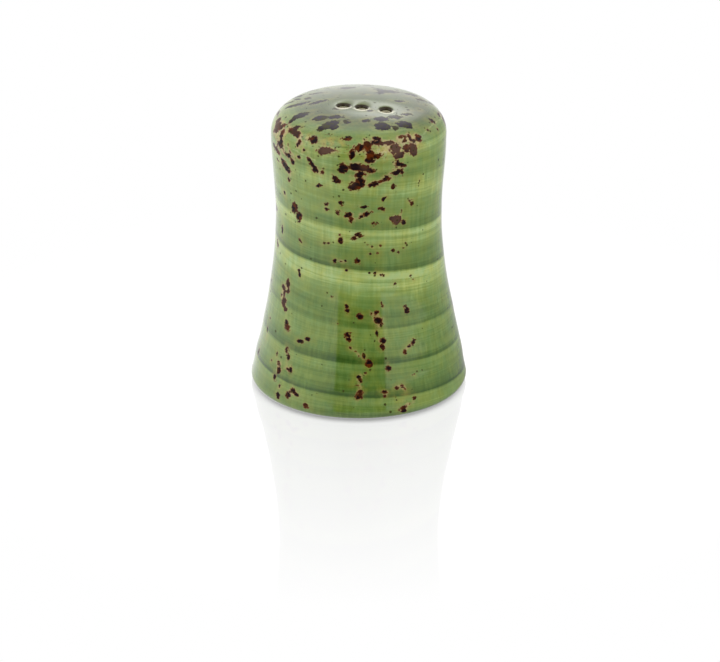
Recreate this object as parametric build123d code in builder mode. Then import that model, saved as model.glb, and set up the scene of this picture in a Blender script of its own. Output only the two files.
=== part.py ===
"""Porcelain pepper shaker: a one-piece hollow body and the soft stopper in its base.

Millimetres, +Z up, origin on the table under the middle of the foot.
"""
import os
from math import atan, cos, degrees, sin, sqrt

from build123d import *

# --- Body, outside -------------------------------------------------------------------------
body_height = 76.4         # table to the top of the dome
foot_radius = 28.0         # widest circle, just above the table
foot_edge_radius = 1.8     # rounding from the side into the foot
flare_slope = 0.235        # radius lost per millimetre of height, just above the foot
waist_radius = 21.25       # narrowest circle
waist_height = 47.0
crown_radius = 22.3        # circle where the side turns into the shoulder
shoulder_radius = 6.8      # rounding between side and dome
dome_radius = 80.0         # the shallow dome on top

# --- Body, inside and below ----------------------------------------------------------------
wall = 3.2                 # thickness of the cast wall and of the crown
floor_thickness = 3.4      # panel that holds the fill hole
chamber_corner_radius = 4.0
recess_depth = 3.0         # underside of the panel above the table
foot_ring_width = 2.4      # flat, unglazed ring that the body stands on
recess_edge_radius = 0.7   # rounding inside the ring
fill_hole_radius = 11.0
fill_hole_lip = 0.8

# --- Pour holes ----------------------------------------------------------------------------
pour_hole_radius = 1.35
pour_hole_lip = 0.75       # rounding where the glaze runs over the edge
pour_hole_inner_lip = 0.4
pour_hole_spots = [(-3.85, -3.05), (0.8, -4.25), (6.85, -5.45)]   # an uneven row, punched by hand

# --- Stopper -------------------------------------------------------------------------------
stopper_clearance = 0.05   # between its ribs and the fill hole, all round
flange_seat_gap = 0.05     # between its flange and the panel
flange_overlap = 3.2       # how far the flange reaches beyond the hole
flange_thickness = 1.6
flange_edge_radius = 0.6
shank_length = 8.6         # above the flange
shank_wall = 1.9
shank_lead_in = 1.1        # rounding that guides the shank into the hole
rib_height = 0.7           # the ribs stand out from the shank by this
rib_width = 1.3
rib_pitch = 2.3
rib_count = 3
first_rib_height = 1.5     # middle of the lowest rib, above the flange
well_roof = 1.8            # closes the shank at its top
well_corner_radius = 0.8
tab_width = 9.6            # pull tab that hangs in the well
tab_thickness = 2.4
tab_setback = 0.5          # from the mouth of the well up to the end of the tab
tab_end_radius = 1.5
tab_bead_radius = 1.7      # rounded bead along the end of the tab, for the fingernails

# --- Worked out from the values above ------------------------------------------------------
flare_angle = degrees(atan(flare_slope))
floor_top = recess_depth + floor_thickness
shoulder_height = body_height - dome_radius + sqrt(
    (dome_radius - shoulder_radius) ** 2 - (crown_radius - shoulder_radius) ** 2)
dome_reach = degrees(atan((crown_radius - shoulder_radius)
                          / (shoulder_height - (body_height - dome_radius))))
ring_outer_radius = foot_radius - foot_edge_radius
recess_radius = ring_outer_radius - foot_ring_width - recess_edge_radius

flange_top = recess_depth - flange_seat_gap
flange_bottom = flange_top - flange_thickness
flange_radius = fill_hole_radius + flange_overlap
rib_radius = fill_hole_radius - stopper_clearance
shank_radius = rib_radius - rib_height
shank_top = flange_top + shank_length
well_radius = shank_radius - shank_wall
well_top = shank_top - well_roof
tab_end = flange_bottom + tab_setback


def flank_and_crown(inset):
    """The side, shoulder and dome as lines in the XZ plane, moved inwards by inset.

    Runs from the top of the foot's rounding to the axis. With inset 0 it is the outside;
    with the wall's thickness it is the chamber. Returns its lowest and highest point.
    """
    foot_point = (ring_outer_radius + foot_edge_radius * cos(atan(flare_slope)) - inset,
                  foot_edge_radius * (1 + sin(atan(flare_slope))))
    lower_handle = (waist_height - foot_point[1]) / 3
    upper_handle = (shoulder_height - waist_height) / 3
    waist_point = (waist_radius - inset, waist_height)
    crown_point = (crown_radius - inset, shoulder_height)
    Bezier(foot_point,
           (foot_point[0] - flare_slope * lower_handle, foot_point[1] + lower_handle),
           (waist_point[0], waist_height - lower_handle),
           waist_point)
    Bezier(waist_point,
           (waist_point[0], waist_height + upper_handle),
           (crown_point[0], shoulder_height - upper_handle),
           crown_point)
    CenterArc((crown_radius - shoulder_radius, shoulder_height), shoulder_radius - inset,
              0, 90 - dome_reach)
    CenterArc((0, body_height - dome_radius), dome_radius - inset, 90 - dome_reach, dome_reach)
    return foot_point, (0, body_height - inset)


# --- Hollow inside of the body, up to the underside of the crown ---------------------------
with BuildPart() as chamber:
    with BuildSketch(Plane.XZ):
        with BuildLine():
            low_point, high_point = flank_and_crown(wall)
            Polyline(high_point, (0, low_point[1]), low_point)
        make_face()
    revolve(axis=Axis.Z)
    split(bisect_by=Plane.XY.offset(floor_top), keep=Keep.TOP)
    fillet(chamber.edges().group_by(Axis.Z)[0], chamber_corner_radius)

# --- Body ----------------------------------------------------------------------------------
with BuildPart() as shaker_body:
    with BuildSketch(Plane.XZ):
        with BuildLine():
            low_point, high_point = flank_and_crown(0)
            CenterArc((ring_outer_radius, foot_edge_radius), foot_edge_radius,
                      -90, 90 + flare_angle)
            Polyline((ring_outer_radius, 0), (0, 0), high_point)
        make_face()
    revolve(axis=Axis.Z)
    # hollow foot: the body stands on a ring
    with BuildSketch():
        Circle(recess_radius)
    extrude(amount=recess_depth, mode=Mode.SUBTRACT)
    ring_inner_edge = shaker_body.edges().filter_by(
        lambda edge: abs(edge.center(CenterOf.BOUNDING_BOX).Z) < recess_edge_radius / 2
        and edge.bounding_box().size.X < 2 * recess_radius + recess_edge_radius)
    fillet(ring_inner_edge, recess_edge_radius)
    # the chamber, then the hole that it is filled through
    add(chamber.part, mode=Mode.SUBTRACT)
    with Locations((0, 0, floor_top)):
        Hole(fill_hole_radius, depth=floor_thickness)
    fill_hole_edges = shaker_body.edges().filter_by(
        lambda edge: abs(edge.bounding_box().size.X - 2 * fill_hole_radius) < stopper_clearance)
    fillet(fill_hole_edges, fill_hole_lip)
    # pour holes with glazed lips
    with Locations(*[(x, y, body_height) for x, y in pour_hole_spots]):
        Hole(pour_hole_radius, depth=shoulder_radius)
    pour_hole_edges = shaker_body.edges().filter_by(
        lambda edge: edge.bounding_box().size.X < 2 * pour_hole_radius + pour_hole_lip
        and edge.center(CenterOf.BOUNDING_BOX).Z > shoulder_height
        and edge.bounding_box().size.Z < pour_hole_radius)
    outer_edges = pour_hole_edges.filter_by(
        lambda edge: edge.center(CenterOf.BOUNDING_BOX).Z > body_height - wall / 2)
    inner_edges = pour_hole_edges.filter_by(
        lambda edge: edge.center(CenterOf.BOUNDING_BOX).Z <= body_height - wall / 2)
    fillet(outer_edges, pour_hole_lip)
    fillet(inner_edges, pour_hole_inner_lip)

# --- Stopper -------------------------------------------------------------------------------
with BuildPart() as base_stopper:
    with BuildSketch(Plane.XY.offset(flange_bottom)):
        Circle(flange_radius)
    extrude(amount=flange_thickness)
    fillet(base_stopper.edges(), flange_edge_radius)
    with BuildSketch(Plane.XY.offset(flange_top)):
        Circle(shank_radius)
    extrude(amount=shank_length)
    fillet(base_stopper.edges().group_by(Axis.Z)[-1], shank_lead_in)
    # sealing ribs: round beads about the shank
    with BuildSketch(Plane.XZ):
        with Locations(*[(shank_radius, flange_top + first_rib_height + index * rib_pitch)
                         for index in range(rib_count)]):
            Ellipse(rib_height, rib_width / 2)
    revolve(axis=Axis.Z)
    # well for the fingernails, open below
    with BuildSketch(Plane.XY.offset(flange_bottom)):
        Circle(well_radius)
    extrude(amount=well_top - flange_bottom, mode=Mode.SUBTRACT)
    well_roof_edge = base_stopper.edges().filter_by(
        lambda edge: abs(edge.bounding_box().size.X - 2 * well_radius) < stopper_clearance
        and abs(edge.center(CenterOf.BOUNDING_BOX).Z - well_top) < well_corner_radius / 2)
    fillet(well_roof_edge, well_corner_radius)
    # pull tab: a blade that hangs from the roof of the well, with a bead along its end
    with BuildSketch(Plane.XZ) as blade:
        with Locations((0, (tab_end + well_top) / 2)):
            Rectangle(tab_width, well_top - tab_end)
        fillet(blade.vertices().group_by(Axis.Z)[0], tab_end_radius)
    extrude(amount=tab_thickness / 2, both=True)
    with BuildSketch(Plane.YZ):
        with Locations((0, tab_end + tab_bead_radius)):
            Circle(tab_bead_radius)
    extrude(amount=tab_width / 2 - tab_end_radius, both=True)

os.makedirs("parts", exist_ok=True)

shaker_body.part.label = "shaker_body"
export_step(shaker_body.part, "parts/shaker_body.step")

base_stopper.part.label = "base_stopper"
export_step(base_stopper.part, "parts/base_stopper.step")
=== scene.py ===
"""Porcelain pepper shaker in brushed green glaze: the look of its body, its stopper and a plain studio.

The classes hold their sizes in millimetres. A mesh is built in millimetres too, and becomes
metres when it is handed to Blender. Turns are counted from the front, the side of -Y, to the right.
"""

import logging
from dataclasses import dataclass, field
from enum import Enum
from math import atan, cos, pi, radians, sin, sqrt
from typing import Optional, Sequence, Union

import bpy
import numpy as np
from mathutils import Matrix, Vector
from mathutils.geometry import delaunay_2d_cdt

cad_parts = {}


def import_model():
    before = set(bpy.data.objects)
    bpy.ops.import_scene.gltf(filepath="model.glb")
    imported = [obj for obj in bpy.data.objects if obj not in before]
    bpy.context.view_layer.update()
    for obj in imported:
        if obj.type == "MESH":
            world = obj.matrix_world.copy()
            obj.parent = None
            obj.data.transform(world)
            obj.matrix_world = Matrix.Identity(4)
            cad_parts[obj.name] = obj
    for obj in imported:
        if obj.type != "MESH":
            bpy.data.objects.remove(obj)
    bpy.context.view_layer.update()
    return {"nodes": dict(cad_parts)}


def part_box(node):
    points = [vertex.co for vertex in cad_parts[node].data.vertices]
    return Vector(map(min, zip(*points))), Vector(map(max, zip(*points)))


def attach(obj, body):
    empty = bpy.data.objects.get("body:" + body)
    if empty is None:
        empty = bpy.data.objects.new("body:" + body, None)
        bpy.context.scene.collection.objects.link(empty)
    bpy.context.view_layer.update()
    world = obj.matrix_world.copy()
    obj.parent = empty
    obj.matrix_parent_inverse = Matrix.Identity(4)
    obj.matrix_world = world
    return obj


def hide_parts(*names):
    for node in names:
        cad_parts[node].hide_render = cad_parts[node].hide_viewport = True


log = logging.getLogger("pepper_shaker")

METRES_PER_MM = 0.001
MM_PER_METRE = 1000.0

Value = Union["Wire", float, Sequence[float]]
Colour = tuple[float, float, float]


class Skin(Enum):
    """What covers a face of the body; the value is the place of its material on the mesh."""

    BRUSHED_GLAZE = 0
    CLEAR_GLAZE = 1
    BARE_PORCELAIN = 2


# --- Node trees ------------------------------------------------------------------------------


class Wire:
    """What comes out of a node. Reckoning with it by + - * and / lays out Math nodes."""

    def __init__(self, sheet: "NodeSheet", socket: bpy.types.NodeSocket) -> None:
        """Holds one output of a node.

        Args:
            sheet: where further nodes are laid out.
            socket: the node's output.
        """
        self.sheet = sheet
        self.socket = socket

    def math(self, operation: str, *others: Value) -> "Wire":
        """Returns the result of one Math node on this value and up to two others."""
        return self.sheet.wire("ShaderNodeMath", dict(enumerate((self, *others))), operation=operation)

    def __add__(self, other: Value) -> "Wire":
        """Returns the sum."""
        return self.math("ADD", other)

    def __sub__(self, other: Value) -> "Wire":
        """Returns the difference."""
        return self.math("SUBTRACT", other)

    def __rsub__(self, other: float) -> "Wire":
        """Returns a number less this value."""
        return self.math("MULTIPLY_ADD", -1.0, other)

    def __mul__(self, other: Value) -> "Wire":
        """Returns the product."""
        return self.math("MULTIPLY", other)

    def __truediv__(self, other: Value) -> "Wire":
        """Returns the quotient."""
        return self.math("DIVIDE", other)

    def __abs__(self) -> "Wire":
        """Returns the value without its sign."""
        return self.math("ABSOLUTE")

    __radd__ = __add__
    __rmul__ = __mul__

    def step(self, low: Value, high: Value) -> "Wire":
        """Returns a smooth step from 0 at low to 1 at high; low may be the larger."""
        inputs = {"Value": self, "From Min": low, "From Max": high}
        return self.sheet.wire("ShaderNodeMapRange", inputs, interpolation_type="SMOOTHSTEP")

    def curve(self, points: Sequence[tuple[float, float]]) -> "Wire":
        """Lays a smooth curve through points.

        Args:
            points: its points from left to right, with x and y from 0 to 1.

        Returns:
            The height of the curve at this value.
        """
        made = self.sheet.node("ShaderNodeFloatCurve", {"Value": self})
        line = made.mapping.curves[0]
        while len(line.points) < len(points):
            line.points.new(0.5, 0.5)
        for point, place in zip(line.points, points):
            point.location = place
            point.handle_type = "AUTO_CLAMPED"
        made.mapping.update()
        return Wire(self.sheet, made.outputs[0])

    def ramp(self, stops: Sequence[tuple[float, Colour]]) -> "Wire":
        """Lays a colour ramp.

        Args:
            stops: places from 0 to 1 with their colours, in order.

        Returns:
            The colour at this value, mixed evenly between two stops.
        """
        made = self.sheet.node("ShaderNodeValToRGB", {0: self})
        elements = made.color_ramp.elements
        while len(elements) < len(stops):
            elements.new(0.5)
        for element, (place, colour) in zip(elements, stops):
            element.position = place
            element.color = (*colour, 1.0)
        return Wire(self.sheet, made.outputs[0])

    def split(self) -> tuple["Wire", ...]:
        """Returns the three parts of a vector or a colour."""
        parts = self.sheet.node("ShaderNodeSeparateXYZ", {0: self}).outputs
        return tuple(Wire(self.sheet, part) for part in parts)

    def stretch(self, factors: Sequence[float]) -> "Wire":
        """Returns the vector with each of its parts multiplied."""
        return self.sheet.wire("ShaderNodeVectorMath", {0: self, 1: factors}, operation="MULTIPLY")

    def noise(self, scale: Union[float, Sequence[float]], detail: float = 2.0,
              roughness: float = 0.5, dimensions: str = "3D") -> "Wire":
        """Returns soft noise at this place.

        Args:
            scale: how close the noise is, alike every way or along each axis.
            detail: how many finer layers it has.
            roughness: how much each finer layer weighs.
            dimensions: "3D", or "2D" for noise on a flat map.

        Returns:
            Numbers about 0, mostly from -0.5 to 0.5.
        """
        if not isinstance(scale, float):
            return self.stretch(scale).noise(1.0, detail, roughness, dimensions)
        inputs = {"Vector": self, "Scale": scale, "Detail": detail, "Roughness": roughness}
        return self.sheet.wire("ShaderNodeTexNoise", inputs, noise_dimensions=dimensions) - 0.5

    def cells(self, scale: float) -> tuple["Wire", "Wire"]:
        """Returns the distance to the nearest point of a scattered lot, and that point's colour."""
        outputs = self.sheet.node("ShaderNodeTexVoronoi", {"Vector": self, "Scale": scale}).outputs
        return Wire(self.sheet, outputs["Distance"]), Wire(self.sheet, outputs["Color"])


class NodeSheet:
    """Lays out the nodes of one material or world."""

    def __init__(self, tree: bpy.types.NodeTree) -> None:
        """Starts on an emptied tree.

        Args:
            tree: the node tree to fill.
        """
        self.tree = tree
        tree.nodes.clear()

    def node(self, kind: str, inputs: Optional[dict] = None, **settings: object) -> bpy.types.Node:
        """Adds a node.

        Args:
            kind: the node's Blender type.
            inputs: values or wires for its inputs, by name or by place.
            settings: the node's own properties.

        Returns:
            The new node.
        """
        made = self.tree.nodes.new(kind)
        for name, value in settings.items():
            setattr(made, name, value)
        for key, value in (inputs or {}).items():
            target = made.inputs[key]
            if isinstance(value, Wire):
                self.tree.links.new(value.socket, target)
            elif hasattr(value, "__len__") and target.type == "RGBA":
                target.default_value = (*value, 1.0)
            else:
                target.default_value = value
        return made

    def wire(self, kind: str, inputs: Optional[dict] = None, output: Union[int, str] = 0,
             **settings: object) -> Wire:
        """Adds a node as node() does and returns one of its outputs."""
        return Wire(self, self.node(kind, inputs, **settings).outputs[output])

    def join(self, x: Value, y: Value, z: Value = 0.0) -> Wire:
        """Returns a vector made of three values."""
        return self.wire("ShaderNodeCombineXYZ", {0: x, 1: y, 2: z})

    def blend(self, factor: Value, first: Value, second: Value, kind: str = "MIX") -> Wire:
        """Returns two colours blended by a factor."""
        inputs = {0: factor, 6: first, 7: second}
        return self.wire("ShaderNodeMix", inputs, 2, data_type="RGBA", blend_type=kind)

    def layer(self, factor: Value, first: Wire, second: Wire) -> Wire:
        """Returns two shaders mixed by a factor."""
        return self.wire("ShaderNodeMixShader", {0: factor, 1: first, 2: second})

    def attribute(self, name: str) -> Wire:
        """Returns a number that the mesh carries at each vertex."""
        return self.wire("ShaderNodeAttribute", output="Fac", attribute_name=name)

    def position(self) -> Wire:
        """Returns the place on the object in its own frame, in millimetres."""
        return self.wire("ShaderNodeTexCoord", output="Object").stretch((MM_PER_METRE,) * 3)

    def bump(self, height: Value, millimetres: float) -> Wire:
        """Returns the normal of a surface that a height from 0 to 1 raises by that much."""
        return self.wire("ShaderNodeBump", {"Height": height, "Distance": millimetres * METRES_PER_MM})

    def surface(self, shader: Wire) -> None:
        """Makes a shader the material's surface."""
        self.node("ShaderNodeOutputMaterial", {"Surface": shader})


def new_material(name: str) -> tuple[bpy.types.Material, NodeSheet]:
    """Makes an empty node material.

    Args:
        name: the material's name.

    Returns:
        The material, and the sheet that lays out its nodes.
    """
    material = bpy.data.materials.new(name)
    material.use_nodes = True
    return material, NodeSheet(material.node_tree)


# --- Finishes --------------------------------------------------------------------------------


@dataclass(frozen=True)
class BrushedGlaze:
    """Green glaze laid on in one rising spiral stroke, with dark flakes that bled into it."""

    # the green at each tone from 0 to 1
    greens: tuple = ((0.0, (0.032, 0.076, 0.008)), (0.22, (0.072, 0.132, 0.020)),
                     (0.44, (0.124, 0.200, 0.040)), (0.66, (0.190, 0.274, 0.064)),
                     (0.88, (0.300, 0.395, 0.120)), (1.0, (0.360, 0.455, 0.160)))
    warm: Colour = (1.10, 1.00, 0.80)             # tints that the green wanders between
    cool: Colour = (0.92, 1.00, 1.14)
    # what the crown is darkened towards: partly its thicker glaze, partly painted shade of the top
    crown_shade_colour: Colour = (0.062, 0.068, 0.027)
    olive: Colour = (0.370, 0.290, 0.045)         # glaze scorched by the flakes: olive, then cream
    cream: Colour = (0.500, 0.430, 0.220)
    crack: Colour = (0.120, 0.055, 0.010)
    halo: Colour = (0.380, 0.290, 0.120)          # a flake from outside in
    rust: Colour = (0.135, 0.028, 0.005)
    flake_brown: Colour = (0.048, 0.012, 0.002)
    flake: Colour = (0.008, 0.003, 0.004)
    crown_flake_sheen: Colour = (0.032, 0.023, 0.034)         # what the flakes of the crown have instead: a painted bluish sheen of the sky
    painted_flake_sheen: Colour = (0.092, 0.048, 0.032)         # painted sheen on some flakes, where they mirror light
    speck: Colour = (0.035, 0.030, 0.006)
    thin_glaze_glint: Colour = (0.820, 0.790, 0.600)          # changes about the pour holes, with painted glint and shade
    # brown pooled glaze in the back lips, with painted shade of the holes
    pooled: Colour = (0.026, 0.018, 0.006)
    # painted shade behind each pour hole, dark olive, where its hollow mirrors the dark gap around the
    # camera
    hole_back_shade: Colour = (0.085, 0.110, 0.010)
    # pale lines painted where the shoulder's reflection ends: painted highlights
    highlight_line: Colour = (0.420, 0.480, 0.210)
    roughness: float = 0.045
    gloss: float = 0.5
    flake_roughness: float = 0.14
    flake_gloss: float = 0.06
    crown_gloss: float = 0.12       # what the flakes on the crown have more
    crown_edge: tuple = (74.0, 73.0)      # above these heights flakes have no rust or halo

    # how dark the stroke's edge is and how pale it is below, across one turn from edge to edge
    dark_across: tuple = ((0.0, 1.0), (0.03, 0.94), (0.075, 0.62), (0.15, 0.30), (0.25, 0.10),
                          (0.38, 0.0), (0.90, 0.0), (0.945, 0.16), (0.98, 0.72), (1.0, 1.0))
    edge_across: tuple = ((0.0, 0.0), (0.70, 0.0), (0.80, 0.30), (0.875, 0.90), (0.91, 1.0),
                          (0.95, 0.62), (1.0, 0.0))
    band_across: tuple = ((0.0, 0.0), (0.34, 0.0), (0.52, 0.28), (0.66, 0.70), (0.82, 1.0),
                          (0.93, 0.90), (1.0, 0.0))
    # the strength of each edge, from the turn below the foot upwards
    dark_edges: tuple = (0.5, 0.42, 0.29, 0.20, 0.30, 0.13, 0.12, 0.10, 0.06, 0.05, 0.05, 0.05)
    pale_edges: tuple = (0.1, 0.09, 0.07, 0.02, 0.06, 0.08, 0.04, 0.08, 0.06, 0.05, 0.05, 0.05)
    pale_bands: tuple = (0.0, 0.10, 0.08, 0.08, 0.38, 0.29, 0.10, 0.05, 0.02, 0.0, 0.0, 0.0)

    def strength(self, place: Wire, gains: Sequence[float]) -> Wire:
        """Lays out how strong an edge is at a place along the stroke.

        Args:
            place: the place along the stroke in turns, 0 where turn 0 passes the front.
            gains: one strength for each turn, the first for the turn below turn 0.

        Returns:
            The strength, smooth from turn to turn.
        """
        last, top = len(gains) - 1, max(gains)
        points = [(index / last, gain / top) for index, gain in enumerate(gains)]
        return ((place + 1.0) / last).curve(points) * top

    def tone(self, sheet: NodeSheet, place: Wire) -> tuple[Wire, Wire]:
        """Lays out how light the brushed glaze is.

        Args:
            sheet: where the nodes are laid out.
            place: the place on the body, in millimetres.

        Returns:
            The tone from 0, deepest, to 1, lightest, and the bristle lines alone.
        """
        x, y, _ = place.split()
        turn = x.math("ARCTAN2", y * -1.0) / (2 * pi)
        climb = sheet.attribute("brush_turn")
        wander = place.noise((0.05, 0.05, 0.05), 1.0)
        fray = place.noise((0.9, 0.9, 0.5), 2.0, 0.6)
        count = climb + turn + wander * 0.10 + fray * 0.022
        across = count.math("FRACT")
        along = turn - count.math("FLOOR")
        nearest = count.math("ROUND") - turn
        above = count.math("CEIL") - turn

        dark = across.curve(self.dark_across) * self.strength(nearest, self.dark_edges)
        edge = across.curve(self.edge_across) * self.strength(above, self.pale_edges)
        band = across.curve(self.band_across) * self.strength(above, self.pale_bands)

        flat = sheet.join(along, across)
        fades = flat.noise((5.0, 1.2, 1.0), 1.0, 0.5, "2D").step(-0.30, 0.12)
        wide_bands = flat.noise((2.2, 6.0, 1.0), 1.0, 0.5, "2D")
        bristles = flat.noise((6.0, 26.0, 1.0), 2.0, 0.6, "2D")
        runs = place.noise((1.15, 1.15, 0.07), 2.0, 0.6)
        blotches = place.noise((0.14, 0.14, 0.14), 2.0)
        tone = (0.475 + climb.step(3.6, 4.6) * 0.14
                + dark * (fades * -0.35 - 0.75)
                + edge * (fades * 0.6 + 0.5)
                + band * (bristles * 0.9 + 1.0)
                + wide_bands * 0.34 + bristles * 0.26
                + runs * (blotches + 0.36) + blotches * 0.24
                # painted shade down the front of the low turns, where the dark gap around the camera is
                # mirrored
                + climb.step(2.8, 0.8) * self.front_shade_and_low_tone(turn)
                # the crown darker: partly thicker glaze, partly painted shade of the top
                + self.crown(sheet) * -0.34)
        return tone, bristles

    def front_shade_and_low_tone(self, turn: Wire) -> Wire:
        """Returns what the low turns add to the tone: below 0 all round, and lowest in a strip down the
        front, which is painted shade where the front faces the dark gap around the camera.
        """
        return abs(turn).step(0.075, 0.025) * -0.11 - 0.05

    def crown(self, sheet: NodeSheet) -> Wire:
        """Returns a mask of the crown, reaching lower on the right, where the glaze is painted darker:
        partly its thicker glaze, partly painted shade of the top, and deeper on the right as a painted
        dark reflection.
        """
        across, _, _ = sheet.position().split()
        return (sheet.attribute("brush_turn") + across.step(6.0, 18.0) * 0.45).step(6.2, 7.7)

    def flake_depth(self, sheet: NodeSheet, place: Wire) -> tuple[Wire, Wire]:
        """Lays the angular edge of the flakes.

        Args:
            sheet: where the nodes are laid out.
            place: the place on the body, in millimetres.

        Returns:
            The signed distance to the nearest flake's edge, below 0 inside it, and a
            number from 0 to 1 that changes from shard to shard.
        """
        shard, hue, _ = place.stretch((1.0, 1.0, 1.25)).cells(0.85)[1].split()
        splinter, _, _ = place.cells(2.2)[1].split()
        ragged = (shard - 0.5) * 0.55 + (splinter - 0.5) * 0.30 + place.noise(2.4, 2.0, 0.6) * 0.26
        depth = sheet.attribute("flake_distance") + ragged * sheet.attribute("flake_coarse") - 0.07
        return depth, hue

    def specks(self, sheet: NodeSheet, place: Wire) -> Wire:
        """Lays fine specks, closer together near the larger flakes.

        Args:
            sheet: where the nodes are laid out.
            place: the place on the body, in millimetres.

        Returns:
            A mask, 1 inside a speck.
        """
        distance, colour = place.cells(0.75)
        chance, size, _ = colour.split()
        limit = (0.07 + sheet.attribute("flake_distance").step(3.5, 0.0) * 0.20
                 + sheet.attribute("brush_turn").step(3.4, 5.6) * 0.24
                 + sheet.attribute("scorch") * 0.30)
        radius = 0.06 + size * 0.21 + place.noise(4.0, 1.0) * 0.26
        return (limit - chance).step(0.0, 0.02) * (radius - distance).step(-0.03, 0.04)

    def scorched(self, sheet: NodeSheet, place: Wire, green: Wire) -> Wire:
        """Turns the glaze olive and cream, with fine brown cracks, where flakes crowd.

        Args:
            sheet: where the nodes are laid out.
            place: the place on the body, in millimetres.
            green: the colour of the sound glaze.

        Returns:
            The colour with the scorched places.
        """
        scorch = sheet.attribute("scorch")
        near = sheet.attribute("flake_distance").step(2.0, 0.0) * 0.25
        patchy = place.noise(0.40, 3.0, 0.6).step(-0.14, 0.12)
        olive = sheet.blend(near.math("MAXIMUM", scorch) * patchy * 0.90, green, self.olive)
        clots = place.noise(0.75, 3.0, 0.65).step(-0.10, 0.08)
        cream = sheet.blend(scorch.step(0.70, 1.15) * clots * 0.85, olive, self.cream)
        crumbs = place.stretch((1.0, 1.0, 0.8)).noise(1.9, 3.0, 0.7).step(0.07, 0.15)
        return sheet.blend(crumbs * scorch.step(0.10, 0.50) * 0.85, cream, self.crack)

    def flaked(self, sheet: NodeSheet, place: Wire, green: Wire) -> tuple[Wire, Wire]:
        """Lays the flakes over the green, with the rust and the scorched glaze about them.

        Args:
            sheet: where the nodes are laid out.
            place: the place on the body, in millimetres.
            green: the colour of the sound glaze.

        Returns:
            The colour, and a mask of the flakes and specks.
        """
        depth, hue = self.flake_depth(sheet, place)
        coarse = sheet.attribute("flake_coarse")
        crowd = sheet.attribute("flake_crowd").step(0.40, 1.00)
        _, _, height = place.split()
        on_side = height.step(*self.crown_edge)
        halo = (depth - place.noise(0.8, 2.0) * 1.5 - crowd * 0.25).step(0.36, -0.16)
        ground = self.scorched(sheet, place, green)
        ochre = sheet.blend(halo * on_side * (crowd * 0.50 + 0.14), ground, self.halo)
        rusty = sheet.blend(depth.step(coarse * 0.18, -0.02) * on_side * 0.90, ochre, self.rust)
        edge = depth.step(0.03, -0.10)
        edge_colour = sheet.blend(coarse.step(0.35, 0.70) * on_side, self.speck, self.flake_brown)
        brown = sheet.blend(edge, rusty, edge_colour)
        redness = (place.noise(0.60, 3.0, 0.6) * 1.3 + (hue - 0.5) * 0.45
                   + sheet.attribute("scorch") * 0.25)
        patched = sheet.blend(redness.step(0.20, 0.36) * edge * on_side * 0.55, brown, self.rust)
        dark = depth.step(-0.03, coarse * -0.30) * redness.step(0.18, -0.02)
        # the flakes of the crown get a painted bluish sheen of the sky
        cored = sheet.blend(dark, patched, sheet.blend(self.crown(sheet), self.flake, self.crown_flake_sheen))
        # painted sheen: mauve-grey flakes, as if they mirrored light
        flake_sheen = sheet.attribute("flake_sheen") * depth.step(-0.04, -0.24)
        sheened = sheet.blend(flake_sheen, cored, self.painted_flake_sheen)
        specks = self.specks(sheet, place)
        return sheet.blend(specks * 0.90, sheened, self.speck), edge.math("MAXIMUM", specks)

    def highlight_lines(self, sheet: NodeSheet, place: Wire, colour: Wire) -> Wire:
        """Draws thin pale lines, broken in places: painted highlights along the shoulder, where its
        reflection ends.

        Args:
            sheet: where the nodes are laid out.
            place: the place on the body, in millimetres.
            colour: the colour of the glaze without them.

        Returns:
            The colour with the painted highlight lines.
        """
        distance = sheet.attribute("highlight_line_distance") + place.noise(0.9, 2.0) * 0.5
        broken = place.noise(0.5, 1.0).step(-0.22, 0.02)
        return sheet.blend(distance.step(0.36, 0.06) * broken * 0.50, colour, self.highlight_line)

    def material(self) -> bpy.types.Material:
        """Builds the finish.

        Returns:
            The new material.
        """
        material, sheet = new_material("brushed_green_glaze")
        place = sheet.position()
        tone, bristles = self.tone(sheet, place)
        brushed = tone.ramp(self.greens)
        tint = sheet.blend(place.noise(0.30, 3.0, 0.6).step(-0.22, 0.22), self.cool, self.warm)
        brushed = sheet.blend(1.0, brushed, tint, "MULTIPLY")
        across, _, _ = place.split()
        # the crown's darkening, uneven and deeper on the right: painted shade and a painted dark
        # reflection, partly thicker glaze
        crown_shading = 0.72 + place.noise(0.18, 3.0, 0.6) * 0.60 + across.step(8.0, 17.0) * 0.16
        crown = self.crown(sheet)
        green = sheet.blend(crown * crown_shading, brushed, self.crown_shade_colour)
        colour, dull = self.flaked(sheet, place, self.highlight_lines(sheet, place, green))
        # painted shade behind the holes, thin glaze with a painted glint, and pooled glaze with painted
        # shade
        changes = (("painted_hole_shade", self.hole_back_shade), ("glaze_thin_and_glint", self.thin_glaze_glint), ("glaze_pooled_and_shade", self.pooled))
        for name, changed in changes:
            colour = sheet.blend(sheet.attribute(name), colour, changed)

        dull = dull.math("MAXIMUM", sheet.attribute("glaze_pooled_and_shade"))
        roughness = dull * (self.flake_roughness - self.roughness) + self.roughness
        flake_gloss = crown * self.crown_gloss + self.flake_gloss
        gloss = dull * (flake_gloss - self.gloss) + self.gloss
        height = bristles * 0.35 + place.noise(0.55, 1.0) * 0.6 - dull * 0.8
        sheet.surface(sheet.wire("ShaderNodeBsdfPrincipled",
                                 {"Base Color": colour, "Roughness": roughness, "IOR": 1.52,
                                  "Specular IOR Level": gloss, "Normal": sheet.bump(height, 0.012)}))
        return material


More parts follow.
